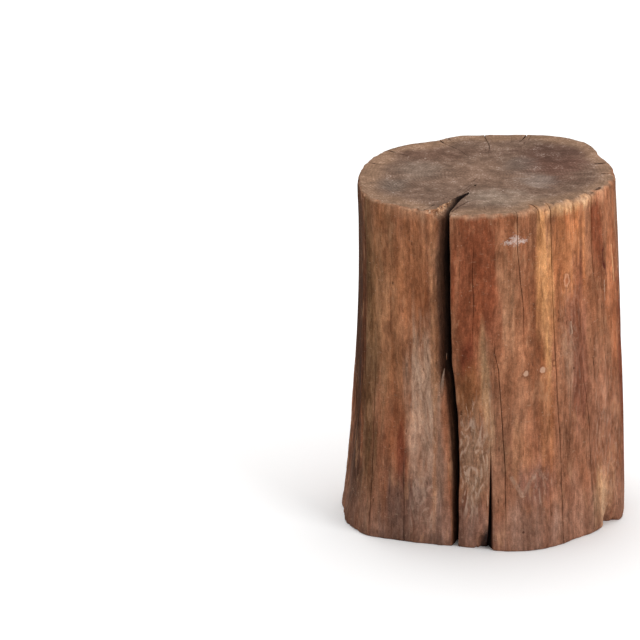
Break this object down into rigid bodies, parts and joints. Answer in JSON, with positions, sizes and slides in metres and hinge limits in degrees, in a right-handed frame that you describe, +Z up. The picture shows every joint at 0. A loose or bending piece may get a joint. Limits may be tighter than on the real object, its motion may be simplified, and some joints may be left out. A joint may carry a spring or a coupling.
{
  "type": "tree trunk",
  "caption": "Sawn section of a peeled tree trunk, flat at both ends, with a deep drying split and fine checks; it stands as a stool or side table.",
  "frame": {"origin": "middle of the foot's box, on the surface that the trunk stands on", "axes": "+Z up along the trunk, from the foot to the sawn top; -Y towards the front, where the deep split is; +X to the viewer's right"},
  "size_m": [0.3661, 0.3346, 0.45],
  "materials": {
    "wood": "peeled and oiled wood: red-brown to tan sides with dark streaks and grey weathered patches, grey-brown sawn top with darker heartwood; satin"
  },
  "bodies": {
    "root": {"trunk": "wood"}
  },
  "joints": []
}
